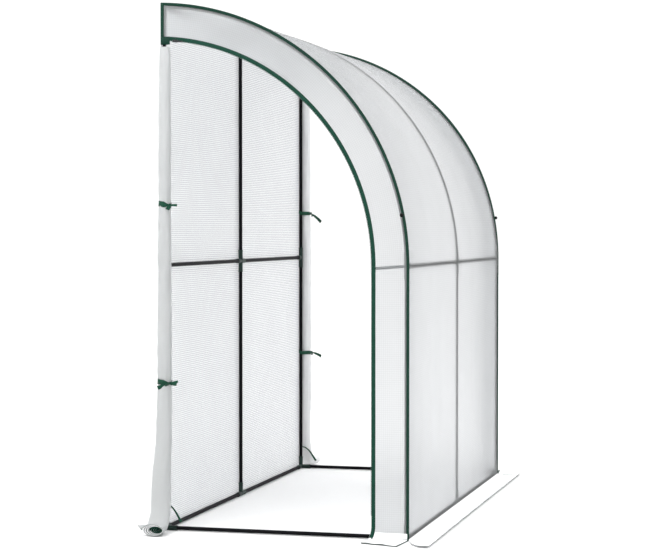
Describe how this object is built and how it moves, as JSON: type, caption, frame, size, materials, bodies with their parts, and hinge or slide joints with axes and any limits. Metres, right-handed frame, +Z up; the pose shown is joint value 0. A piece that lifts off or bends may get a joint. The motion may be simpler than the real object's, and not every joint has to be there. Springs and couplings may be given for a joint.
{
  "type": "lean-to greenhouse",
  "caption": "Lean-to walk-in greenhouse with quarter-round hoops of black tube, a translucent white cover with green edges, ground skirts and a rolled, zipped door at each end.",
  "frame": {"origin": "on the floor, in the plane of the wall, half way along the greenhouse", "axes": "+Y into the wall behind the greenhouse, +X along the wall from the pictured end to the far end, +Z up"},
  "size_m": [2.394, 1.136, 2.1316],
  "materials": {
    "frame_tube": "black powder coat on steel tube",
    "connector": "moulded, very dark green",
    "cover": "translucent white polyethylene with a woven grid",
    "door_cloth": "the same polyethylene sheet, rolled",
    "skirt": "plain translucent white polyethylene",
    "binding": "folded woven tape, dark green",
    "zip": "woven zip tape with a moulded coil, dark green",
    "tie_tape": "woven tape, dark green",
    "stay_tape": "woven tape, grey",
    "slider": "lacquered die casting, dark green",
    "toggle": "moulded, black"
  },
  "bodies": {
    "greenhouse": {"wall_post_lower_near": "frame_tube", "wall_post_upper_near": "frame_tube", "front_post_near": "frame_tube", "hoop_near": "frame_tube", "wall_foot_connector_near": "connector", "front_foot_connector_near": "connector", "wall_middle_connector_near": "connector", "front_middle_connector_near": "connector", "ridge_connector_near": "connector", "wall_post_lower_middle": "frame_tube", "wall_post_upper_middle": "frame_tube", "front_post_middle": "frame_tube", "hoop_middle": "frame_tube", "wall_foot_connector_middle": "connector", "front_foot_connector_middle": "connector", "wall_middle_connector_middle": "connector", "front_middle_connector_middle": "connector", "ridge_connector_middle": "connector", "wall_post_lower_far": "frame_tube", "wall_post_upper_far": "frame_tube", "front_post_far": "frame_tube", "hoop_far": "frame_tube", "wall_foot_connector_far": "connector", "front_foot_connector_far": "connector", "wall_middle_connector_far": "connector", "front_middle_connector_far": "connector", "ridge_connector_far": "connector", "wall_ground_rail_near": "frame_tube", "front_ground_rail_near": "frame_tube", "wall_middle_rail_near": "frame_tube", "front_middle_rail_near": "frame_tube", "ridge_rail_near": "frame_tube", "end_ground_rail_near": "frame_tube", "end_band_near": "cover", "arch_binding_near": "binding", "band_zip_near": "zip", "band_skirt_near": "skirt", "door_roll_near": "door_cloth", "door_ties_near": "tie_tape", "wall_ground_rail_far": "frame_tube", "front_ground_rail_far": "frame_tube", "wall_middle_rail_far": "frame_tube", "front_middle_rail_far": "frame_tube", "ridge_rail_far": "frame_tube", "end_ground_rail_far": "frame_tube", "end_band_far": "cover", "arch_binding_far": "binding", "band_zip_far": "zip", "band_skirt_far": "skirt", "door_roll_far": "door_cloth", "door_ties_far": "tie_tape", "roof_and_front_panel": "cover", "wall_panel": "cover", "front_skirt": "skirt", "band_stays": "stay_tape", "guy_toggles": "toggle"},
    "zip_slider_near": {"zip_slider_near": "slider"},
    "zip_pull_near": {"zip_pull_near": "slider"},
    "zip_slider_far": {"zip_slider_far": "slider"},
    "zip_pull_far": {"zip_pull_far": "slider"}
  },
  "joints": [
    {"name": "zip_run_near", "type": "hinge", "parent": "greenhouse", "child": "zip_slider_near", "pos_m": [-1.032, 0.03193, 1.075], "axis": [1, 0, 0], "range_deg": [0, 84]},
    {"name": "pull_flip_near", "type": "hinge", "parent": "zip_slider_near", "child": "zip_pull_near", "pos_m": [-1.0385, -0.062, 1.97604], "axis": [0, 0.1037, -0.9946], "range_deg": [0, 180]},
    {"name": "zip_run_far", "type": "hinge", "parent": "greenhouse", "child": "zip_slider_far", "pos_m": [1.032, 0.03193, 1.075], "axis": [1, 0, 0], "range_deg": [0, 84]},
    {"name": "pull_flip_far", "type": "hinge", "parent": "zip_slider_far", "child": "zip_pull_far", "pos_m": [1.0385, -0.062, 1.97604], "axis": [0, -0.1037, 0.9946], "range_deg": [0, 180]}
  ]
}
